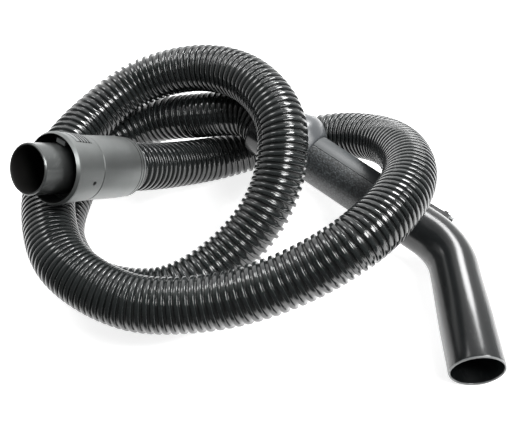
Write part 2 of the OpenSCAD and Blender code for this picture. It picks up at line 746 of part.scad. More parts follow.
// The slider: a channel round the tongue, with a nub for the thumb and a ribbed nose.
module suction_slider() {
    half = rail_width / 2;
    under = -slider_height + running;
    cheek_low = -slider_height - cheek_reach;
    cheek_in = half - cheek_wall + running;
    body_length = slider_length - 3;
    color([0.09, 0.09, 0.1]) at_handle() on_rail() translate([0, 0, slider_start]) {
        difference() {
            translate([-half, under, 0]) cube([rail_width, -under, body_length]);
            edge_cuts(rail_width, 0, body_length);
        }
        for (side = [-1, 1]) {
            translate([side > 0 ? cheek_in : -half, cheek_low, 0])
                cube([half - cheek_in, under - cheek_low + tiny, body_length]);
            translate([side > 0 ? cheek_in - cheek_lip : -half, cheek_low, 0])
                cube([half - cheek_in + cheek_lip, lip_depth - 2 * running, body_length]);
        }
        translate([-half + 0.8, under, body_length - tiny]) cube([rail_width - 1.6, -under - 1.4, 3 + tiny]);
        for (k = [0:nose_ribs - 1])
            translate([-half + 0.8, under, body_length + 0.5 + k])
                cube([rail_width - 1.6, -under - 0.9 - 0.1 * k, 0.5]);
        translate([-nub_width / 2, -tiny, body_length - nub_setback - nub_length])
            cube([nub_width, nub_height, nub_length]);
    }
}

hose();
machine_cuff();
machine_seal();
machine_spigot();
front_collar();
sleeve_upper_half();
sleeve_lower_half();
latch_button();
latch_pin();
latch_spring();
handle_cuff();
handle_seal();
retaining_ring();
cuff_cap();
neck_ring();
wand_tube();
grip_lower_shell();
grip_upper_shell();
slider_rail();
suction_slider();
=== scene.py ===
"""Looks of the vacuum hose: the ribbed hose, the swivel connector and the bent handle.

Run as a script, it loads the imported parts, makes each piece and its finish, and lights them.
Lengths are metres in the parts' own frame.
"""

import math

import bmesh
import bpy
import numpy as np
from bpy.props import FloatProperty, FloatVectorProperty, IntProperty, PointerProperty
from mathutils import Matrix, Vector


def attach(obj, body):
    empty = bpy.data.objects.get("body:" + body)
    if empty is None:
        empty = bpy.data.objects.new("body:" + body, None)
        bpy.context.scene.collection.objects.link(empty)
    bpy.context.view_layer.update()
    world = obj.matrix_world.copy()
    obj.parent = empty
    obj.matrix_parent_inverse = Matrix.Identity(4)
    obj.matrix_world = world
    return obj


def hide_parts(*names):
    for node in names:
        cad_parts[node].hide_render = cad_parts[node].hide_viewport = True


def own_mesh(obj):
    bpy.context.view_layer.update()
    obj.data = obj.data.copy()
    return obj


bl_info = {
    "name": "Vacuum hose",
    "version": (1, 0, 0),
    "blender": (4, 5, 0),
    "location": "View3D > Sidebar > Vacuum hose",
    "description": "Makes the looks of a vacuum hose with its connector and handle",
    "category": "Object",
}

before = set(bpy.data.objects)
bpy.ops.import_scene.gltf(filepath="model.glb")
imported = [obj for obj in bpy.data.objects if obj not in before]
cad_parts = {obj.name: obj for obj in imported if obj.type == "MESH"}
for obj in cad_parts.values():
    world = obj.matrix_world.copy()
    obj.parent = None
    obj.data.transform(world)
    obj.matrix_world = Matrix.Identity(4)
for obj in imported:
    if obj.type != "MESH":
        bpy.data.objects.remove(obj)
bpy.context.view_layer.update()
MM = 0.001

# ---- Where the end pieces sit ----

MACHINE_RIM = np.array([-101.0, 33.0, 68.0])
MACHINE_AZIMUTH, MACHINE_RISE = 232.0, 33.0
HANDLE_RIM = np.array([4.0, 97.5, 59.15])
HANDLE_AZIMUTH, HANDLE_FALL, HANDLE_ROLL = -38.0, 10.4, -2.75
# How far the hose is screwed into its cuffs, and the least gap between it and the floor.
SCREW_DEPTH, GROUND_GAP = 20.0, 0.05

# The points that the free hose passes through, in millimetres.
ROUTE = [
    (-74, 70, 38), (-36, 102, 19), (16, 120, 21), (67, 114, 35), (98, 78, 59),
    (108, 29, 82), (99, -23, 97), (66, -65, 94), (20, -80, 70), (-31, -84, 52),
    (-85, -80, 48), (-131, -53, 55), (-152, -3, 58), (-155, 51, 59), (-137, 102, 61),
    (-98, 134, 76), (-47, 129, 93), (-5, 96, 102), (18, 49, 94), (11, 6, 63),
    (-22, -26, 33), (-68, -49, 20), (-121, -40, 19), (-152, 3, 19), (-154, 58, 19),
    (-140, 110, 22), (-94, 132, 35), (-46, 117, 54), (-10, 108, 62),
]  # fmt: skip

# The bent wand, in millimetres from the handle's rim: its bend, its walls and its end.
BEND_START, BEND_RADIUS, BEND_ANGLE, WAND_REACH = 160.0, 42.0, 52.0, 83.0
WAND_R, WAND_BORE_R, DUCT_R = 18.0, 16.2, 17.4
WAND_END_R, WAND_END_LENGTH, WAND_FLARE = 19.0, 32.0, 46.0
WAND_CURVE = math.radians(BEND_ANGLE) * BEND_RADIUS
WAND_END = BEND_START + WAND_CURVE + WAND_REACH

# The latch's spring: its wire, coil and turns, the height it stands on and its length,
# and its place along the connector.
SPRING_WIRE, SPRING_D, SPRING_TURNS = 0.5, 4.0, 4
SPRING_LOW, SPRING_LENGTH, SPRING_SEAT = 18.58, 3.17, 53.3

# What the finishes mark, in millimetres from the rim of each end piece: pale edges, grooves
# and gaps darkened as painted shade, where the painted shade of a bore starts and the radius
# within which it lies, and the slider's nose, which gets a painted highlight.
SLEEVE_EDGES, SLEEVE_GROOVES = [0.6, 43.9], [2.4, 5.2]
COLLAR_EDGE, COLLAR_SHADE_START, COLLAR_BORE_R = 44.4, 58.0, 23.4
SPIGOT_EDGE, SPIGOT_SHADE_START, SPIGOT_BORE_R = 91.3, 76.0, 15.9
BUTTON_EDGE, BUTTON_GROOVES = 49.8, [60.0 - 2.75 * k for k in range(4)]
CAP_EDGES, NECK_EDGE, SLIDER_NOSE = [0.5, 13.8], 14.5, 169.5


def turn(axis, degrees):
    """A rotation about one axis."""
    return Matrix.Rotation(math.radians(degrees), 4, axis)


def piece_frame(rim, fall, azimuth, roll=0.0):
    """The matrix that puts a piece drawn along +Z, in millimetres, on its rim."""
    place = Matrix.Translation(Vector(rim) * MM)
    return (
        place @ turn("Z", azimuth) @ turn("Y", 90 + fall) @ turn("Z", roll)
        @ Matrix.Scale(MM, 4)
    )  # fmt: skip


MACHINE = piece_frame(MACHINE_RIM, -MACHINE_RISE, MACHINE_AZIMUTH)
HANDLE = piece_frame(HANDLE_RIM, HANDLE_FALL, HANDLE_AZIMUTH, HANDLE_ROLL)
MACHINE_AXIS = np.array((MACHINE.to_3x3() @ Vector((0, 0, 1))).normalized())
HANDLE_AXIS = np.array((HANDLE.to_3x3() @ Vector((0, 0, 1))).normalized())


# ---- Materials ----


class Wire:
    """One socket of a finish. Arithmetic on wires adds Math nodes."""

    def __init__(self, finish, socket):
        self.finish = finish
        self.socket = socket

    def _math(self, operation, *values, clamp=False):
        return self.finish.node(
            "ShaderNodeMath",
            {"operation": operation, "use_clamp": clamp},
            dict(enumerate(values)),
        )

    def __add__(self, other):
        return self._math("ADD", self, other)

    __radd__ = __add__

    def __sub__(self, other):
        return self._math("SUBTRACT", self, other)

    def __rsub__(self, other):
        return self._math("SUBTRACT", other, self)

    def __mul__(self, other):
        return self._math("MULTIPLY", self, other)

    __rmul__ = __mul__

    def __truediv__(self, other):
        return self._math("DIVIDE", self, other)

    def __abs__(self):
        return self._math("ABSOLUTE", self)

    def limited(self):
        """The value kept between 0 and 1."""
        return self._math("ADD", self, 0.0, clamp=True)

    def near(self, centre, reach):
        """1 at centre, falling to 0 at reach away from it."""
        return (1 - abs(self - centre) / reach).limited()

    def above(self, edge, blur):
        """0 below edge, 1 above it, over the blur between."""
        return ((self - edge) / blur + 0.5).limited()


class Finish:
    """A material with one Principled shader."""

    def __init__(self, name, **constants):
        self.material = bpy.data.materials.new(name)
        self.material.use_nodes = True
        self.tree = self.material.node_tree
        self.tree.nodes.clear()
        self.shader = self.tree.nodes.new("ShaderNodeBsdfPrincipled")
        self.output = self.tree.nodes.new("ShaderNodeOutputMaterial")
        self.tree.links.new(self.shader.outputs[0], self.output.inputs["Surface"])
        for socket, value in constants.items():
            self.set(socket.replace("_", " "), value)

    def _join(self, socket, value):
        if isinstance(value, Wire):
            self.tree.links.new(value.socket, socket)
        elif hasattr(value, "__len__") and len(value) == 3 and len(socket.default_value) == 4:
            socket.default_value = (*value, 1.0)
        else:
            socket.default_value = value

    def node(self, kind, settings=None, inputs=None, output=0):
        """Adds a node: its settings first, then the values or wires of its sockets."""
        made = self.tree.nodes.new(kind)
        for name, value in (settings or {}).items():
            setattr(made, name, value)
        for name, value in (inputs or {}).items():
            if value is not None:
                self._join(made.inputs[name], value)
        return Wire(self, made.outputs[output])

    def set(self, socket, value):
        """Gives a value or a wire to the shader's socket of that name, in any case."""
        found = [s for s in self.shader.inputs if s.name.lower() == socket.lower()]
        self._join(found[0], value)

    def place(self):
        """The point on the piece, in metres."""
        return self.node("ShaderNodeTexCoord", output="Object")

    def noise(self, scale, detail=3.0, rough=0.55, stretch=None, distortion=0.0):
        """A noise of that many cells to the metre, from 0 to 1."""
        at = self.place()
        if stretch:
            at = self.node(
                "ShaderNodeVectorMath", {"operation": "MULTIPLY"}, {0: at, 1: stretch}
            )
        return self.node(
            "ShaderNodeTexNoise",
            {},
            {"Vector": at, "Scale": scale, "Detail": detail, "Roughness": rough,
             "Distortion": distortion},
            output="Fac" if bpy.app.version < (5, 0, 0) else 0,
        )  # fmt: skip

    def pebbles(self, scale):
        """Distance in a pattern of that many rounded cells to the metre."""
        return self.node(
            "ShaderNodeTexVoronoi",
            {"feature": "SMOOTH_F1"},
            {"Vector": self.place(), "Scale": scale},
            output="Distance",
        )

    def marked(self, name):
        """The value that the mesh keeps at its points under that name."""
        return self.node("ShaderNodeAttribute", {"attribute_name": name}, output="Fac")

    def from_rim(self, rim):
        """The way from a rim to the point on the piece, in metres."""
        return self.node(
            "ShaderNodeVectorMath",
            {"operation": "SUBTRACT"},
            {0: self.place(), 1: tuple(np.array(rim) * MM)},
        )

    def along(self, rim, axis):
        """Distance in millimetres from a rim, along an axis."""
        metres = self.node(
            "ShaderNodeVectorMath",
            {"operation": "DOT_PRODUCT"},
            {0: self.from_rim(rim), 1: tuple(axis)},
            output="Value",
        )
        return metres * (1 / MM)

    def off_axis(self, rim, axis):
        """Distance in millimetres from the line through a rim along an axis."""
        across = self.node(
            "ShaderNodeVectorMath",
            {"operation": "CROSS_PRODUCT"},
            {0: self.from_rim(rim), 1: tuple(axis)},
        )
        metres = self.node(
            "ShaderNodeVectorMath", {"operation": "LENGTH"}, {0: across}, output="Value"
        )
        return metres * (1 / MM)

    def mixed(self, share, first, second):
        """A colour between two others."""
        return self.node(
            "ShaderNodeMix",
            {"data_type": "RGBA"},
            {0: share, 6: first, 7: second},
            output=2,
        )

    def ramp(self, value, low, high):
        """A value spread from low to high as value goes from 0 to 1."""
        return value * (high - low) + low

    def bump(self, height, depth_mm):
        """Turns a height from 0 to 1 into the shader's normal."""
        inputs = {"Height": height, "Distance": depth_mm * MM}
        self.set("Normal", self.node("ShaderNodeBump", {}, inputs))


def shade(colour, factor):
    """A colour made lighter or darker."""
    return tuple(min(1.0, c * factor) for c in colour)


def moulded(
    name, colour, gloss, grain_mm=0.02, coat=0.0, wear=(), speck=0.12, sheen=0.0, dark=(),
    level=0.5, scuffs=1.0, painted_bore_shade=None, coat_gloss=0.08, lip=None,
):
    """Moulded plastic: cloudy colour, fine pits, faint scuffs, and paler worn edges.

    grain_mm is the depth of its pits; coat is the share of gloss over it, and coat_gloss
    that gloss's roughness; wear lists (rim, axis, [places along it in millimetres]) of worn
    edges; speck is the share of pale specks; sheen is the share of metal flake in it; dark
    lists (rim, axis, [places], half width) of grooves and gaps darkened as painted shade;
    level is how much it mirrors; scuffs is how much it is scuffed; hollow is (rim, axis,
    radius, place) of a bore darkened as painted shade from that place outward; lip is (rim,
    axis, place, half width) of a rounded edge with a painted highlight all the way round.
    """
    finish = Finish(name, specular_ior_level=level, coat_roughness=coat_gloss, metallic=sheen)
    cloud = finish.noise(38.0, 4.0)
    fine = finish.noise(2600.0, 2.0)
    scuff = finish.noise(260.0, 5.0, 0.7, stretch=(1.0, 0.25, 0.6), distortion=0.4)
    scuffed = scuff.above(0.63, 0.09)
    tint = finish.mixed(cloud.above(0.5, 0.5), shade(colour, 0.9), shade(colour, 1.1))
    tint = finish.mixed(fine.above(0.6, 0.2) * speck, tint, shade(colour, 1.9))
    worn = scuffed * (0.25 * scuffs)
    for rim, axis, places in wear:
        along = finish.along(rim, axis)
        for place in places:
            edge = along.near(place, 0.7) * scuff.above(0.46, 0.12)
            worn = worn + edge * 0.55
    worn = worn.limited()
    pale = tuple(c * 0.55 + 0.2 for c in colour)
    tint = finish.mixed(worn * 0.5, tint, pale)
    # Painted shade: each groove or gap darkened to near black.
    for rim, axis, places, reach in dark:
        along = finish.along(rim, axis)
        for place in places:
            groove = (along.near(place, reach) * 3).limited()
            tint = finish.mixed(groove * 0.96, tint, (0.004, 0.004, 0.004))
            worn = worn + groove * 3
    # Painted highlight: a pale band round a rounded edge.
    if lip:
        rim, axis, place, reach = lip
        painted_highlight_band = finish.along(rim, axis).near(place, reach)
        tint = finish.mixed((painted_highlight_band * 1.6).limited(), tint, (0.3, 0.31, 0.31))
    # Painted shade: a bore darkened from a place along it outward.
    if painted_bore_shade:
        rim, axis, radius, place = painted_bore_shade
        inside = 1 - finish.off_axis(rim, axis).above(radius, 0.3)
        inside = inside * finish.along(rim, axis).above(place, 1.0)
        tint = finish.mixed(inside * 0.9, tint, (0.012, 0.012, 0.012))
    finish.set("Base Color", tint)
    finish.set(
        "Roughness",
        (finish.ramp(cloud, gloss * 0.85, gloss * 1.15) + worn * 0.16 + fine * 0.03).limited(),
    )
    if coat:
        finish.set("Coat Weight", coat)
    finish.bump(fine * 0.55 + cloud * 0.3 + scuff * 0.15, grain_mm)
    return finish.material


# ---- Meshes ----


def make_mesh(name, points, faces, material, smooth=True, attributes=None):
    """An object from points in metres and faces, with one material."""
    mesh = bpy.data.meshes.new(name)
    mesh.from_pydata([tuple(p) for p in points], [], [tuple(f) for f in faces])
    mesh.validate()
    mesh.update()
    mesh.polygons.foreach_set("use_smooth", [smooth] * len(mesh.polygons))
    for title, values in (attributes or {}).items():
        made = mesh.attributes.new(title, "FLOAT", "POINT")
        made.data.foreach_set("value", np.asarray(values, np.float32))
    mesh.materials.append(material)
    made = bpy.data.objects.new(name, mesh)
    bpy.context.scene.collection.objects.link(made)
    return made


def sharpen(piece, degrees):
    """Keeps a piece's corners sharp where its faces meet at more than an angle."""
    mesh = piece.data
    work = bmesh.new()
    work.from_mesh(mesh)
    limit = math.radians(degrees)
    for edge in work.edges:
        if len(edge.link_faces) == 2:
            edge.smooth = edge.calc_face_angle(0.0) < limit
    work.to_mesh(mesh)
    work.free()


def lofted(name, rings, material, closed_loop=True):
    """A closed skin through rings of points; an open run of them gets flat ends."""
    count, sides = len(rings), len(rings[0])
    points = np.concatenate(rings)
    faces = []
    for i in range(count if closed_loop else count - 1):
        a, b = i * sides, ((i + 1) % count) * sides
        for k in range(sides):
            n = (k + 1) % sides
            faces.append((a + k, a + n, b + n, b + k))
    if not closed_loop:
        faces.append(tuple(reversed(range(sides))))
        faces.append(tuple(range((count - 1) * sides, count * sides)))
    return make_mesh(name, points, faces, material)


def placed(matrix, points):
    """Points of a piece's own frame, put where the piece is."""
    m = np.array(matrix)
    return points @ m[:3, :3].T + m[:3, 3]


# ---- The hose's line ----


def hose_line(per_span=40):
    """Centreline of the whole hose in millimetres, with its lengths and headings."""
    line = np.array([MACHINE_RIM, *ROUTE, HANDLE_RIM], float)
    spans = len(line) - 1
    chords = np.linalg.norm(np.diff(line, axis=0), axis=1)
    samples = []
    for i in range(spans):
        chord = chords[i]

        def pull(j):
            """The line's way through its point j, as long as the span."""
            if j == 0:
                return -MACHINE_AXIS * chord
            if j == spans:
                return HANDLE_AXIS * chord
            return chord * (line[j + 1] - line[j - 1]) / (chords[j] + chords[j - 1])

        a, b, u, v = line[i], line[i + 1], pull(i), pull(i + 1)
        t = np.linspace(0, 1, per_span, endpoint=False)[:, None]
        samples.append(
            a * (2 * t**3 - 3 * t**2 + 1) + b * (3 * t**2 - 2 * t**3)
            + u * (t**3 - 2 * t**2 + t) + v * (t**3 - t**2)
        )  # fmt: skip
    free = np.concatenate([*samples, line[-1:]])
    inside = np.linspace(SCREW_DEPTH, 0, 9)[:-1, None]
    points = np.concatenate(
        [line[0] + MACHINE_AXIS * inside, free, line[-1] + HANDLE_AXIS * inside[::-1]]
    )
    steps = np.linalg.norm(np.diff(points, axis=0), axis=1)
    lengths = np.concatenate([[0], np.cumsum(steps)])
    headings = np.gradient(points, lengths, axis=0)
    headings /= np.linalg.norm(headings, axis=1)[:, None]
    return points, lengths, headings


# The rib across its width: millimetres from its middle, and its height there. It keeps
# its width when the hose bends or stretches, and the thin web beside it gives.
RIB_PROFILE = [
    (0.0, 1.0), (0.5, 0.993), (0.9, 0.975), (1.17, 0.925), (1.36, 0.8), (1.49, 0.55),
    (1.6, 0.28), (1.78, 0.1), (2.1, 0.04),
]  # fmt: skip
# Where the rib's crown ends, and half the pitch below which the whole rib gets narrower.
RIB_SHOULDER = 1.36
WEB_FOOT = 2.2

# Rings of points along the bore, and a step from one point of the hose's line to the next.
BORE_STATIONS, PATH_STEP = 260, 4

# How far the hose is stretched: millimetres along it, and its pitch there at a mean of
# STRETCH_MEAN.
STRETCH_MEAN = 5.5
STRETCH = [
    (0, 6.1), (60, 6.5), (100, 6.1), (300, 6.1), (350, 5.7), (380, 5.2), (400, 4.4),
    (455, 4.1), (475, 4.7), (500, 5.7), (560, 5.9), (580, 5.5), (600, 4.8), (640, 4.0),
    (665, 3.5), (695, 3.9), (720, 4.4), (760, 5.4), (800, 6.6), (840, 6.5), (860, 6.0),
    (960, 5.8), (1000, 5.3), (1035, 4.8), (1060, 4.4), (1080, 4.6), (1110, 5.4),
    (1155, 6.2), (1250, 5.6), (1400, 5.6), (1470, 6.4), (1500, 7.2), (1520, 6.5),
    (1550, 4.8), (1621, 4.9),
]  # fmt: skip


def pitch_along(lengths, mean):
    """The helix's pitch along the hose, scaled to another mean pitch."""
    stops, pitches = np.array(STRETCH, float).T
    return np.interp(lengths, stops, pitches) * mean / STRETCH_MEAN


def turns_along(lengths, pitch):
    """Turns of the helix up to each length, scaled to end on a whole one, and their number."""
    counted = np.concatenate(
        [[0], np.cumsum(np.diff(lengths) * 2 / (pitch[1:] + pitch[:-1]))]
    )
    turns = int(counted[-1])
    return counted * (turns / counted[-1]), turns


def sampled(lengths_at, lengths, values):
    """Rows of values along the hose, read at other lengths along it."""
    return np.stack([np.interp(lengths_at, lengths, column) for column in values.T], 1)


def hose_rays(lengths_at, angles):
    """Directions straight out of the hose's line, at angles about it."""
    _, lengths, headings = hose_line()
    way = sampled(lengths_at, lengths, headings)
    way /= np.linalg.norm(way, axis=1)[:, None]
    side = np.cross(way, (0, 0, 1))
    side /= np.linalg.norm(side, axis=1)[:, None]
    up = np.cross(side, way)
    return np.cos(angles)[:, None] * side + np.sin(angles)[:, None] * up


def hose_points(lengths_at, angles, radii):
    """Points on the hose at lengths along it, angles about it and radii, in metres."""
    points, lengths, _ = hose_line()
    at = sampled(lengths_at, lengths, points)
    made = at + radii[:, None] * hose_rays(lengths_at, angles)
    made[:, 2] = np.maximum(made[:, 2], GROUND_GAP)
    return made * MM


def wound_rib(crest, depth, mean_pitch, sides):
    """The hose's ribbed outside, wound as a helix, with sides steps to the turn.

    Returns its points in metres, and two tables with a row for each step: the rib's height
    and the mark of its shoulders, at each point across the rib and the web beside it.
    """
    _, lengths, headings = hose_line()
    pitch = pitch_along(lengths, mean_pitch)
    turns_at, turns = turns_along(lengths, pitch)
    across, heights = np.array(RIB_PROFILE).T
    shoulders = (across == RIB_SHOULDER).astype(float)
    steps = (turns - 1) * sides + 1
    around = np.arange(steps) / sides
    # The pitch beside each step of the rib: wide outside a bend, narrow inside it.
    middle = np.interp(around, turns_at, lengths)
    curve = sampled(middle, lengths, np.gradient(headings, lengths, axis=0))
    rays = hose_rays(middle, -2 * np.pi * around)
    local = np.interp(middle, lengths, pitch) * (1 - crest * np.sum(curve * rays, 1))
    share = across[None, :] * np.minimum(1 / local, 0.5 / WEB_FOOT)[:, None]
    count = around[:, None] + np.concatenate(
        [share, np.full((steps, 1), 0.5), 1 - share[:, :0:-1]], 1
    )
    rib, lip = (
        np.tile([*half, 0.0, *half[:0:-1]], (steps, 1)) for half in (heights, shoulders)
    )
    where = np.interp(count, turns_at, lengths)
    angles = np.repeat(-2 * np.pi * around[:, None], rib.shape[1], 1)
    radii = crest - depth * (1 - rib)
    return hose_points(where.ravel(), angles.ravel(), radii.ravel()), rib, lip


def rib_faces(steps, rows, sides):
    """Faces along the wound rib, and from each of its turns to the next."""
    n = np.arange(steps - 1)
    blocks = [
        np.stack([n * rows + k, n * rows + k + 1, (n + 1) * rows + k + 1, (n + 1) * rows + k], 1)
        for k in range(rows - 1)
    ]
    top = rows - 1
    m = n[n + sides + 1 < steps]
    blocks.append(np.stack(
        [m * rows + top, (m + sides) * rows, (m + sides + 1) * rows, (m + 1) * rows + top], 1
    ))  # fmt: skip
    return np.concatenate(blocks).tolist()


def bore_faces(steps, rows, sides, stations):
    """Faces of the bore, and those that join it to the rib's first and last turns.

    The bore's rings of points come after the rib's, and after them one ring at the foot
    of the ribs at each end.
    """
    bore_at = steps * rows
    first_at = bore_at + stations * sides
    last_at = first_at + sides
    bore_end = first_at - sides
    faces = []
    for a in range(bore_at, bore_end, sides):
        for k in range(sides):
            j = (k + 1) % sides
            faces.append((a + k, a + sides + k, a + sides + j, a + j))
    for k in range(sides):
        j = (k + 1) % sides
        faces.append((bore_at + k, bore_at + j, first_at + j, first_at + k))
        faces.append((bore_end + k, last_at + k, last_at + j, bore_end + j))
        if k < sides - 1:
            faces.append((first_at + k, first_at + j, (k + 1) * rows, k * rows))
    faces.append((first_at + sides - 1, first_at, sides * rows, (sides - 1) * rows))
    faces.append((first_at, *range(rows), sides * rows))
    last, top = steps - 1, rows - 1
    for step in range(last - sides, last):
        near, far = last_at + step % sides, last_at + (step + 1) % sides
        faces.append((step * rows + top, near, far, (step + 1) * rows + top))
    faces.append((
        last_at + last % sides, (last - sides) * rows + top,
        *range(last * rows, last * rows + rows),
    ))  # fmt: skip
    return faces


def hose_finish(colour, gloss):
    """Glossy black soft plastic, a little dusty in its grooves, with a painted highlight at its
    ribs' shoulders.
    """
    finish = Finish("hose_black", specular_ior_level=1.0)
    rib = finish.marked("rib")
    cloud = finish.noise(30.0, 4.0)
    fine = finish.noise(1900.0, 3.0)
    streak = finish.noise(240.0, 4.0, 0.6, distortion=0.5)
    dust = (1 - rib * 1.6).limited() * cloud.above(0.45, 0.4)
    # Painted highlight: the ribs' shoulders, marked on the mesh, made paler in streaks.
    edge = finish.marked("lip").above(0.35, 0.5) * streak.above(0.36, 0.3)
    rubbed = rib.above(0.95, 0.08) * streak.above(0.62, 0.12)
    tint = finish.mixed(cloud.above(0.5, 0.6), shade(colour, 0.75), shade(colour, 1.3))
    tint = finish.mixed(edge * 0.4, tint, (0.08, 0.083, 0.084))
    tint = finish.mixed(dust * 0.16, tint, (0.07, 0.068, 0.064))
    tint = finish.mixed(rubbed * 0.2, tint, (0.07, 0.07, 0.072))
    finish.set("Base Color", tint)
    finish.set(
        "Roughness",
        (finish.ramp(cloud, gloss * 0.8, gloss * 1.25) + dust * 0.2 + rubbed * 0.1
         + edge * 0.08 + fine * 0.03).limited(),
    )  # fmt: skip
    finish.bump(fine * 0.3 + streak * 0.7, 0.002)
    return finish.material


# ---- Settings ----


class HoseSettings(bpy.types.PropertyGroup):
    """Sizes and colour of the ribbed hose."""

    crest_d: FloatProperty(
        name="Outside diameter", description="Over the crests of the ribs",
        default=0.038, min=0.03, max=0.039, precision=4, unit="LENGTH",
    )  # fmt: skip
    rib_depth: FloatProperty(
        name="Rib depth", description="From a rib's crest to the groove beside it",
        default=0.0023, min=0.001, max=0.0028, precision=4, unit="LENGTH",
    )  # fmt: skip
    pitch: FloatProperty(
        name="Pitch", description="Mean distance from one rib to the next",
        default=0.0055, min=0.004, max=0.009, precision=4, unit="LENGTH",
    )  # fmt: skip
    bore_d: FloatProperty(
        name="Bore", description="Inside diameter of the hose",
        default=0.0316, min=0.028, max=0.033, precision=4, unit="LENGTH",
    )  # fmt: skip
    sides: IntProperty(
        name="Sides", description="Corners of the mesh round the hose",
        default=56, min=16, max=96,
    )  # fmt: skip
    colour: FloatVectorProperty(
        name="Colour", description="Colour of the hose's plastic",
        default=(0.016, 0.0192, 0.0192), min=0, max=1, subtype="COLOR",
    )  # fmt: skip
    gloss: FloatProperty(
        name="Roughness", description="Roughness of the hose's plastic",
        default=0.09, min=0.02, max=1, subtype="FACTOR",
    )  # fmt: skip


class ConnectorSettings(bpy.types.PropertyGroup):
    """Colours of the machine connector."""

    body: FloatVectorProperty(
        name="Body", description="Colour of the collar and sleeve",
        default=(0.205, 0.215, 0.212), min=0, max=1, subtype="COLOR",
    )  # fmt: skip
    button: FloatVectorProperty(
        name="Button", description="Colour of the latch button",
        default=(0.2, 0.21, 0.21), min=0, max=1, subtype="COLOR",
    )  # fmt: skip
    cuff: FloatVectorProperty(
        name="Cuff", description="Colour of the threaded cuff",
        default=(0.36, 0.365, 0.37), min=0, max=1, subtype="COLOR",
    )  # fmt: skip
    gloss: FloatProperty(
        name="Roughness", description="Roughness of the connector's plastic",
        default=0.36, min=0.02, max=1, subtype="FACTOR",
    )  # fmt: skip


class HandleSettings(bpy.types.PropertyGroup):
    """Colours of the handle, and its grain."""

    body: FloatVectorProperty(
        name="Body", description="Colour of the ring, neck, rail, slider and cuff",
        default=(0.014, 0.015, 0.016), min=0, max=1, subtype="COLOR",
    )  # fmt: skip
    wand: FloatVectorProperty(
        name="Wand", description="Colour of the wand",
        default=(0.0075, 0.0088, 0.0095), min=0, max=1, subtype="COLOR",
    )  # fmt: skip
    shell: FloatVectorProperty(
        name="Grip", description="Colour of the grip's shells",
        default=(0.03, 0.034, 0.036), min=0, max=1, subtype="COLOR",
    )  # fmt: skip
    gloss: FloatProperty(
        name="Roughness", description="Roughness of the ring, rail and slider",
        default=0.16, min=0.02, max=1, subtype="FACTOR",
    )  # fmt: skip
    grain: FloatProperty(
        name="Grain depth", description="Depth of the pebbled grain under the hand",
        default=0.00022, min=0, max=0.001, precision=5, unit="LENGTH",
    )  # fmt: skip


class StageSettings(bpy.types.PropertyGroup):
    """Floor and light."""

    floor: FloatVectorProperty(
        name="Floor", description="Colour of the floor",
        default=(0.86, 0.86, 0.86), min=0, max=1, subtype="COLOR",
    )  # fmt: skip
    sky: FloatProperty(
        name="Room light", description="Strength of the even light of the room",
        default=0.27, min=0, max=2,
    )  # fmt: skip
    lamps: FloatProperty(
        name="Lamps", description="Power of the soft lamps",
        default=7.8, min=0, max=100, unit="POWER",
    )  # fmt: skip


# ---- The stage ----

CAMERA_PLACE, CAMERA_TILT = (-0.001, -0.3739, 0.4158), 45.75
CAMERA_LENS, CAMERA_SENSOR = 49.82, 36

# The way to the room's bright wall, the cosines to it between which the light rises, and
# the shares of the even light that it rises from and to.
BRIGHT_WAY, BRIGHT_SPAN, BRIGHT_SHARES = (-0.1, 0.95, 0.1), (-0.1, 0.9), (0.3, 5.0)

# Each soft lamp's place, the side of its square, and its share of the lamps' power.
LAMPS = {
    "lamp_back": ((0.5, 0.66, 1.0), 0.38, 1.35),
    "lamp_right": ((0.72, -0.12, 1.08), 0.38, 1.0),
    "lamp_front": ((0.48, -0.53, 1.08), 0.38, 0.8),
    "lamp_left": ((-0.72, 0.42, 1.0), 0.36, 0.28),
}
LAMPS_AIM = (0, 0, 0.04)

# How far the floor reaches, and the way across it along which a painted pool of light makes
# it pale from so many millimetres on, over a blur. How much it glows where it is seen and
# where it is mirrored.
FLOOR_REACH = 6.0
FLOOR_WAY, FLOOR_EDGE, FLOOR_BLUR = (0.3, 0.954, 0), -155.0, 40.0
GLOW_SEEN, GLOW_MIRRORED = 0.8, 1.0


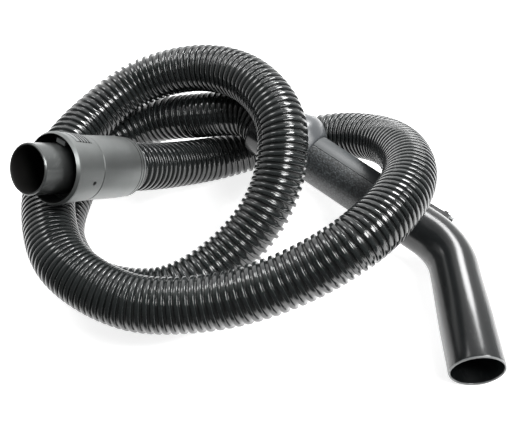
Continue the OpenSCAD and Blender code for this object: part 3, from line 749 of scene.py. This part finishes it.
class MakeStage(bpy.types.Operator):
    """Makes the camera, the room, the lamps and the floor"""

    bl_idname = "vacuum_hose.stage"
    bl_label = "Stage"

    def execute(self, context):
        settings = context.scene.stage_settings
        scene = context.scene
        camera = bpy.data.objects.new("camera", bpy.data.cameras.new("camera"))
        camera.location = CAMERA_PLACE
        camera.rotation_euler = (math.radians(CAMERA_TILT), 0, 0)
        camera.data.lens = CAMERA_LENS
        camera.data.sensor_width = CAMERA_SENSOR
        camera.data.clip_start, camera.data.clip_end = 0.02, 50
        scene.collection.objects.link(camera)
        scene.camera = camera
        scene.view_settings.view_transform = "Standard"
        scene.world = self.make_room(settings)
        for name, (place, size, share) in LAMPS.items():
            data = bpy.data.lights.new(name, "AREA")
            data.shape = "SQUARE"
            data.size = size
            data.energy = settings.lamps * share
            lamp = bpy.data.objects.new(name, data)
            lamp.location = place
            aim = Vector(LAMPS_AIM) - lamp.location
            lamp.rotation_euler = aim.to_track_quat("-Z", "Y").to_euler()
            scene.collection.objects.link(lamp)
        self.make_floor(settings)
        return {"FINISHED"}

    def make_room(self, settings):
        """Light from all round: a bright wall behind the object, and dark in front."""
        world = bpy.data.worlds.new("room")
        world.use_nodes = True
        room = world.node_tree
        background = room.nodes["Background"]
        background.inputs["Color"].default_value = (1, 1, 1, 1)
        way = room.nodes.new("ShaderNodeTexCoord")
        facing = room.nodes.new("ShaderNodeVectorMath")
        facing.operation = "DOT_PRODUCT"
        facing.inputs[1].default_value = BRIGHT_WAY
        spread = room.nodes.new("ShaderNodeMapRange")
        dim, bright = (settings.sky * share for share in BRIGHT_SHARES)
        for name, value in (
            ("From Min", BRIGHT_SPAN[0]), ("From Max", BRIGHT_SPAN[1]),
            ("To Min", dim), ("To Max", bright),
        ):  # fmt: skip
            spread.inputs[name].default_value = value
        room.links.new(way.outputs["Generated"], facing.inputs[0])
        room.links.new(facing.outputs["Value"], spread.inputs["Value"])
        # Seen straight, the room is plain white.
        path = room.nodes.new("ShaderNodeLightPath")
        plain = room.nodes.new("ShaderNodeMix")
        plain.inputs["B"].default_value = 1.0
        room.links.new(path.outputs["Is Camera Ray"], plain.inputs["Factor"])
        room.links.new(spread.outputs["Result"], plain.inputs["A"])
        room.links.new(plain.outputs["Result"], background.inputs["Strength"])
        return world

    def make_floor(self, settings):
        """A wide pale floor that shows white and keeps the object's shadow."""
        finish = Finish("floor", roughness=0.9, specular_ior_level=0.2)
        path = finish.tree.nodes.new("ShaderNodeLightPath")
        seen = Wire(finish, path.outputs["Is Camera Ray"])
        mirrored = Wire(finish, path.outputs["Is Glossy Ray"])
        through = Wire(finish, path.outputs["Is Transmission Ray"])
        # A painted pool of light: to all but the camera the floor is dark from a little in front
        # of the object on, and it glows to mirrors only inside the pool.
        painted_light_pool = finish.along((0, 0, 0), FLOOR_WAY).above(FLOOR_EDGE, FLOOR_BLUR)
        grain = finish.noise(55.0, 3.0)
        base = tuple(settings.floor)
        tint = finish.mixed(grain, shade(base, 0.995), shade(base, 1.005))
        tint = finish.mixed((painted_light_pool + seen).limited(), shade(base, 0.08), tint)
        finish.set("Base Color", tint)
        glow = seen * GLOW_SEEN + (mirrored + through).limited() * painted_light_pool * GLOW_MIRRORED
        glow = finish.node("ShaderNodeEmission", {}, {"Color": (1.0, 1.0, 1.0), "Strength": glow})
        both = finish.tree.nodes.new("ShaderNodeAddShader")
        finish.tree.links.new(finish.shader.outputs[0], both.inputs[0])
        finish.tree.links.new(glow.socket, both.inputs[1])
        finish.tree.links.new(both.outputs[0], finish.output.inputs["Surface"])
        reach = FLOOR_REACH
        corners = [(-reach, -reach, 0), (reach, -reach, 0), (reach, reach, 0), (-reach, reach, 0)]
        floor = make_mesh("floor", corners, [(0, 1, 2, 3)], finish.material, smooth=False)


# ---- The pieces ----


class MakeHose(bpy.types.Operator):
    """Makes the helical ribbed hose along its line"""

    bl_idname = "vacuum_hose.hose"
    bl_label = "Hose"

    def execute(self, context):
        settings = context.scene.hose_settings
        crest, bore = settings.crest_d / MM / 2, settings.bore_d / MM / 2
        depth, sides = settings.rib_depth / MM, settings.sides
        points, lengths, _ = hose_line()
        outer, rib, lip = wound_rib(crest, depth, settings.pitch / MM, sides)
        # The bore's rings, and a ring at the foot of the ribs at each cut end.
        places = [*np.linspace(lengths[0], lengths[-1], BORE_STATIONS), lengths[0], lengths[-1]]
        radii = [bore] * BORE_STATIONS + [crest - depth] * 2
        angles = -2 * np.pi * np.arange(sides) / sides
        inner = hose_points(
            np.repeat(places, sides), np.tile(angles, len(places)), np.repeat(radii, sides)
        )
        faces = rib_faces(*rib.shape, sides) + bore_faces(*rib.shape, sides, BORE_STATIONS)
        unmarked = np.zeros(len(inner))
        hose = make_mesh(
            "hose_ribbed",
            np.concatenate([outer, inner]),
            faces,
            hose_finish(tuple(settings.colour), settings.gloss),
            attributes={
                "rib": np.concatenate([rib.ravel(), unmarked]),
                "lip": np.concatenate([lip.ravel(), unmarked]),
            },
        )
        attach(hose, "hose_body")
        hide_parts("hose")
        return {"FINISHED"}


def wand_ring(s, radius, sides=96):
    """A ring round the wand's line, at s millimetres from the handle's rim."""
    bend = math.radians(BEND_ANGLE)
    turned = min(max(s - BEND_START, 0.0) / BEND_RADIUS, bend)
    rest = max(s - BEND_START - WAND_CURVE, 0.0)
    centre = np.array([
        0.0,
        BEND_RADIUS * (math.cos(turned) - 1) - rest * math.sin(bend),
        min(s, BEND_START) + BEND_RADIUS * math.sin(turned) + rest * math.cos(bend),
    ])  # fmt: skip
    angles = 2 * np.pi * np.arange(sides) / sides
    x = np.array([1.0, 0.0, 0.0])
    y = np.array([0.0, math.cos(turned), math.sin(turned)])
    flat = centre + radius * (np.cos(angles)[:, None] * x + np.sin(angles)[:, None] * y)
    return placed(HANDLE, flat)


class MakeWand(bpy.types.Operator):
    """Makes the bent wand, with its duct inside the grip"""

    bl_idname = "vacuum_hose.wand"
    bl_label = "Wand"

    def execute(self, context):
        bend = [BEND_START + WAND_CURVE * i / 18 for i in range(19)]
        flared = WAND_END - WAND_END_LENGTH
        # Places and radii from the duct's foot over the outside to the rounded end.
        outer = [(27.0, 18.15), (38.6, 18.15), (38.9, DUCT_R), (120.4, DUCT_R), (120.5, WAND_R)]
        outer += [(s, WAND_R) for s in (121.2, 124.0, 130.0, 140.0, 150.0)]
        outer += [(s, WAND_R) for s in bend]
        outer.append((flared - WAND_FLARE, WAND_R))
        for share in (0.08, 0.2, 0.4, 0.6, 0.8, 0.92, 1.0):
            grown = (WAND_END_R - WAND_R) * share * share * (3 - 2 * share)
            outer.append((flared - WAND_FLARE * (1 - share), WAND_R + grown))
        for back, round_off in ((20, 0), (8, 0), (2.2, 0), (0.9, 0.12), (0.3, 0.35), (0, 0.8)):
            outer.append((WAND_END - back, WAND_END_R - round_off))
        # From the end back down the socket and the bore.
        socket = WAND_END_R - WAND_R + WAND_BORE_R
        inner = [(WAND_END, socket + 0.55), (WAND_END - 0.5, socket + 0.2)]
        inner += [(WAND_END - 1.2, socket), (flared + 2, socket), (flared - 1, WAND_BORE_R)]
        inner += [(BEND_START + WAND_CURVE + r, WAND_BORE_R) for r in (35, 20, 6)]
        inner += [(s, WAND_BORE_R) for s in (*reversed(bend), 130.0, 90.0, 50.0, 37.2, 37.0)]
        inner += [(36.9, 16.5), (27.0, 16.5)]
        mouth = wand_ring(WAND_END, 0.0)[0] / MM
        heading = mouth - wand_ring(WAND_END - 10, 0.0)[0] / MM
        colour = tuple(context.scene.handle_settings.wand)
        # The wand's mouth gets a painted highlight round its rounded end.
        finish = moulded(
            "wand_black", colour, 0.42, 0.006, coat=1.0, level=0.1,
            coat_gloss=0.21, scuffs=0.35, speck=0.03,
            lip=(mouth, heading / np.linalg.norm(heading), -0.2, 0.9),
        )  # fmt: skip
        wand = lofted("wand", [wand_ring(s, r) for s, r in outer + inner], finish)
        sharpen(wand, 50)
        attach(wand, "handle")
        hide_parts("wand_tube")
        return {"FINISHED"}


class MakeNeck(bpy.types.Operator):
    """Makes the neck that swells from the ring to the grip"""

    bl_idname = "vacuum_hose.neck"
    bl_label = "Neck"

    def execute(self, context):
        settings = context.scene.handle_settings
        sides = 120
        angles = 2 * np.pi * np.arange(sides) / sides
        # Each ring's place, its radius, and how far its middle lies off the handle's line.
        shape = [
            (14.25, 23.7, 0.0), (17.5, 24.35, 0.5), (21.0, 24.95, 1.05), (25.9, 25.6, 1.6),
            (31.0, 26.2, 2.25), (35.0, 26.55, 2.7), (37.5, 26.55, 2.8), (39.5, 26.3, 2.75),
            (41.5, 25.8, 2.58), (43.5, 25.0, 2.38), (45.5, 23.9, 2.1), (47.5, 22.7, 1.75),
            (49.3, 21.6, 1.35), (50.8, 20.6, 0.9), (51.7, 19.9, 0.6), (51.95, 19.4, 0.5),
        ]  # fmt: skip
        inside = [
            (51.95, 17.45, 0.0), (39.1, 17.45, 0.0), (38.55, 18.2, 0.0), (24.2, 18.2, 0.0),
            (24.05, 22.1, 0.0), (6.2, 22.1, 0.0), (6.2, 22.98, 0.0), (14.2, 22.98, 0.0),
        ]  # fmt: skip
        rings = []
        for z, radius, offset in shape + inside:
            flat = np.stack(
                [radius * np.cos(angles), radius * np.sin(angles) + offset, np.full(sides, z)], 1
            )
            rings.append(placed(HANDLE, flat))
        # The neck takes the body colour six times lighter, a painted lit copy of the same
        # plastic.
        finish = moulded(
            "neck_black", shade(settings.body, 6.0), 0.3, grain_mm=0.014, level=0.8, scuffs=0.4,
            wear=[(HANDLE_RIM, HANDLE_AXIS, [NECK_EDGE])], speck=0.06,
        )  # fmt: skip
        neck = lofted("neck", rings, finish)
        sharpen(neck, 40)
        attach(neck, "handle")
        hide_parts("neck_ring")
        return {"FINISHED"}


def dress(nodes, material):
    """Gives CAD nodes one finish on all their faces."""
    for name in nodes:
        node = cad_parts[name]
        node.data.materials.clear()
        node.data.materials.append(material)
        node.data.polygons.foreach_set("material_index", [0] * len(node.data.polygons))


def grained(colour, gloss, depth):
    """Pebbled grain of a grip: small rounded cells with shiny tops, and painted glints on them.
    """
    finish = Finish("grip_grain", specular_ior_level=1.0)
    pebbles = finish.pebbles(820.0)
    fine = finish.noise(3600.0, 2.0)
    patch = finish.noise(700.0, 3.0, 0.7)
    cloud = finish.noise(60.0, 4.0)
    tops = (1 - pebbles * 1.5).limited()
    # Painted glints: the pebbles' tops, in patches, made far paler.
    tint = finish.mixed(tops * patch.above(0.5, 0.3), shade(colour, 0.3), shade(colour, 12.0))
    tint = finish.mixed(cloud * 0.3, tint, shade(colour, 1.3))
    finish.set("Base Color", tint)
    finish.set("Roughness", (finish.ramp(tops, gloss * 1.5, gloss) + fine * 0.08).limited())
    finish.bump(tops * 0.6 + patch * 0.3 + fine * 0.1, depth / MM)
    return finish.material


class FinishHandle(bpy.types.Operator):
    """Gives the grip, the ring, the rail and the slider their finishes"""

    bl_idname = "vacuum_hose.handle"
    bl_label = "Handle"

    def execute(self, context):
        settings = context.scene.handle_settings
        body, shell = tuple(settings.body), tuple(settings.shell)
        gloss = settings.gloss
        cap = moulded(
            "cap_black", body, gloss * 1.2, 0.014, coat=0.3,
            wear=[(HANDLE_RIM, HANDLE_AXIS, CAP_EDGES)], speck=0.06,
        )  # fmt: skip
        dress(["cuff_cap"], cap)
        # Both shells share one colour: the smooth top is made lighter as painted light and the
        # grained sides darker as painted shade.
        smooth = moulded(
            "grip_smooth", shade(shell, 1.5), 0.5, 0.012, speck=0.08, level=0.65, scuffs=0.5
        )
        dress(["grip_upper_shell"], smooth)
        dress(["grip_lower_shell"], grained(shade(shell, 0.5), 0.3, settings.grain))
        rail = moulded("rail_black", shade(body, 0.7), gloss * 2.2, speck=0.08, level=0.12)
        dress(["slider_rail"], rail)
        # The slider's nose gets a painted highlight.
        slider = moulded(
            "slider_black", body, gloss * 1.9, 0.025, level=0.22,
            lip=(HANDLE_RIM, HANDLE_AXIS, SLIDER_NOSE, 4.0),
        )  # fmt: skip
        dress(["suction_slider"], slider)
        return {"FINISHED"}


def steel():
    """Drawn steel wire: bright, with fine streaks along it."""
    finish = Finish("spring_steel", metallic=1.0)
    streak = finish.noise(900.0, 4.0, 0.6, stretch=(1.0, 1.0, 0.2))
    finish.set("Base Color", finish.mixed(streak, (0.42, 0.42, 0.43), (0.62, 0.62, 0.63)))
    finish.set("Roughness", finish.ramp(streak, 0.22, 0.42))
    finish.bump(streak, 0.01)
    return finish.material


def spigot(colour, gloss):
    """The spigot's satin grey, rubbed along its length, with painted shade in its bore and where
    the collar shades it.
    """
    finish = Finish("spigot_grey", specular_ior_level=0.5, metallic=0.65)
    cloud = finish.noise(45.0, 4.0)
    fine = finish.noise(2400.0, 2.0)
    drag = finish.noise(300.0, 4.0, 0.6, stretch=(0.35, 0.3, 1.0))
    tint = finish.mixed(cloud.above(0.5, 0.5), shade(colour, 0.85), shade(colour, 1.15))
    tint = finish.mixed(drag.above(0.6, 0.15) * 0.3, tint, shade(colour, 1.9))
    along = finish.along(MACHINE_RIM, MACHINE_AXIS)
    tint = finish.mixed(along.near(SPIGOT_EDGE, 0.8) * 0.15, tint, (0.4, 0.41, 0.41))
    # Painted shadow of the collar over the spigot's far end.
    painted_collar_shadow = 1 - along.above(SPIGOT_SHADE_START, 12.0)
    tint = finish.mixed(painted_collar_shadow * 0.75, tint, shade(colour, 0.12))
    # Painted shade inside the bore.
    painted_airway_shade = 1 - finish.off_axis(MACHINE_RIM, MACHINE_AXIS).above(SPIGOT_BORE_R, 0.5)
    tint = finish.mixed(painted_airway_shade * 0.93, tint, (0.016, 0.015, 0.014))
    finish.set("Base Color", tint)
    rough = finish.ramp(drag, gloss * 0.85, gloss * 1.25) + painted_airway_shade * 0.4 + fine * 0.03
    finish.set("Roughness", rough.limited())
    finish.bump(fine * 0.5 + drag * 0.5, 0.012)
    return finish.material


class FinishConnector(bpy.types.Operator):
    """Gives the machine connector's pieces their finishes"""

    bl_idname = "vacuum_hose.connector"
    bl_label = "Connector"

    def execute(self, context):
        settings = context.scene.connector_settings
        body, gloss = tuple(settings.body), settings.gloss
        line = (MACHINE_RIM, MACHINE_AXIS)
        # The sleeve's grooves get painted shade.
        grey = moulded(
            "sleeve_grey", body, gloss, 0.018, wear=[(*line, SLEEVE_EDGES)], speck=0.1,
            sheen=0.75, dark=[(*line, SLEEVE_GROOVES, 0.4)],
        )  # fmt: skip
        dress(["sleeve_upper_half", "sleeve_lower_half"], grey)
        # The collar's bore gets painted shade.
        grey = moulded(
            "collar_grey", body, gloss * 1.1, 0.018, wear=[(*line, [COLLAR_EDGE])], speck=0.1,
            sheen=0.75, painted_bore_shade=(*line, COLLAR_BORE_R, COLLAR_SHADE_START),
        )  # fmt: skip
        dress(["front_collar"], grey)
        # The spigot takes the body colour darkened, a shaded copy painted for the collar's
        # shadow.
        dress(["machine_spigot"], spigot(shade(body, 0.6), gloss * 0.75))
        # The button's grooves and its back edge get painted shade.
        grey = moulded(
            "button_grey", tuple(settings.button), gloss, 0.02, sheen=0.4,
            dark=[(*line, BUTTON_GROOVES, 0.85), (*line, [BUTTON_EDGE], 0.5)],
        )  # fmt: skip
        dress(["latch_button"], grey)
        dress(["latch_pin"], steel())
        return {"FINISHED"}


class MakeSpring(bpy.types.Operator):
    """Makes the latch's coil spring"""

    bl_idname = "vacuum_hose.spring"
    bl_label = "Latch spring"

    def execute(self, context):
        wire = SPRING_WIRE / 2
        coil = SPRING_D / 2 - wire
        steps, sides = 28, 10
        count = SPRING_TURNS * steps + 1
        around = 2 * np.pi * np.arange(sides) / sides
        rings = []
        for i in range(count):
            a = 2 * math.pi * i / steps
            height = SPRING_LOW + wire + (SPRING_LENGTH - 2 * wire) * i / (count - 1)
            reach = coil + wire * np.cos(around)
            ring = np.stack([-height - wire * np.sin(around), reach * math.cos(a),
                             SPRING_SEAT + reach * math.sin(a)], 1)  # fmt: skip
            rings.append(placed(MACHINE, ring))
        spring = lofted("latch_coil", rings, steel(), closed_loop=False)
        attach(spring, "connector")
        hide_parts("latch_spring")
        foot = placed(MACHINE, np.array([[-SPRING_LOW, 0.0, SPRING_SEAT]]))[0]
        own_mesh(spring)
        return {"FINISHED"}


class FinishCuffs(bpy.types.Operator):
    """Gives the hose's cuffs, seals and ring their finishes"""

    bl_idname = "vacuum_hose.cuffs"
    bl_label = "Cuffs"

    def execute(self, context):
        cuff = tuple(context.scene.connector_settings.cuff)
        dark = tuple(context.scene.handle_settings.body)
        rubber = moulded("seal_rubber", (0.012, 0.012, 0.012), 0.6, 0.03, speck=0.1)
        dress(["machine_seal", "handle_seal"], rubber)
        dress(["machine_cuff"], moulded("cuff_grey", cuff, 0.35, 0.015))
        dress(["handle_cuff"], moulded("cuff_black", dark, 0.25, 0.015))
        dress(["retaining_ring"], moulded("ring_natural", (0.5, 0.49, 0.46), 0.4, 0.02))
        return {"FINISHED"}


class VacuumHosePanel(bpy.types.Panel):
    """Lists the pieces that can be made"""

    bl_idname = "VIEW3D_PT_vacuum_hose"
    bl_label = "Vacuum hose"
    bl_space_type = "VIEW_3D"
    bl_region_type = "UI"
    bl_category = "Vacuum hose"

    def draw(self, context):
        for settings in SETTINGS:
            group = getattr(context.scene, settings)
            box = self.layout.box()
            for name in group.bl_rna.properties.keys():
                if name not in ("rna_type", "name"):
                    box.prop(group, name)
        for operator in STEPS:
            self.layout.operator(operator.bl_idname)


SETTINGS = {
    "hose_settings": HoseSettings,
    "connector_settings": ConnectorSettings,
    "handle_settings": HandleSettings,
    "stage_settings": StageSettings,
}
STEPS = (
    MakeStage, MakeHose, MakeWand, MakeNeck, FinishHandle, FinishConnector, MakeSpring,
    FinishCuffs,
)  # fmt: skip


def register():
    """Registers the settings, the operators and the panel."""
    for kind in (*SETTINGS.values(), *STEPS, VacuumHosePanel):
        bpy.utils.register_class(kind)
    for name, kind in SETTINGS.items():
        setattr(bpy.types.Scene, name, PointerProperty(type=kind))


def unregister():
    """Takes out what register put in."""
    for name in SETTINGS:
        delattr(bpy.types.Scene, name)
    for kind in (VacuumHosePanel, *reversed(STEPS), *reversed(list(SETTINGS.values()))):
        bpy.utils.unregister_class(kind)


def main():
    """Makes everything in order."""
    register()
    bpy.ops.vacuum_hose.stage()
    bpy.ops.vacuum_hose.hose()
    bpy.ops.vacuum_hose.wand()
    bpy.ops.vacuum_hose.neck()
    bpy.ops.vacuum_hose.handle()
    bpy.ops.vacuum_hose.connector()
    bpy.ops.vacuum_hose.spring()
    bpy.ops.vacuum_hose.cuffs()


if __name__ == "__main__":
    main()
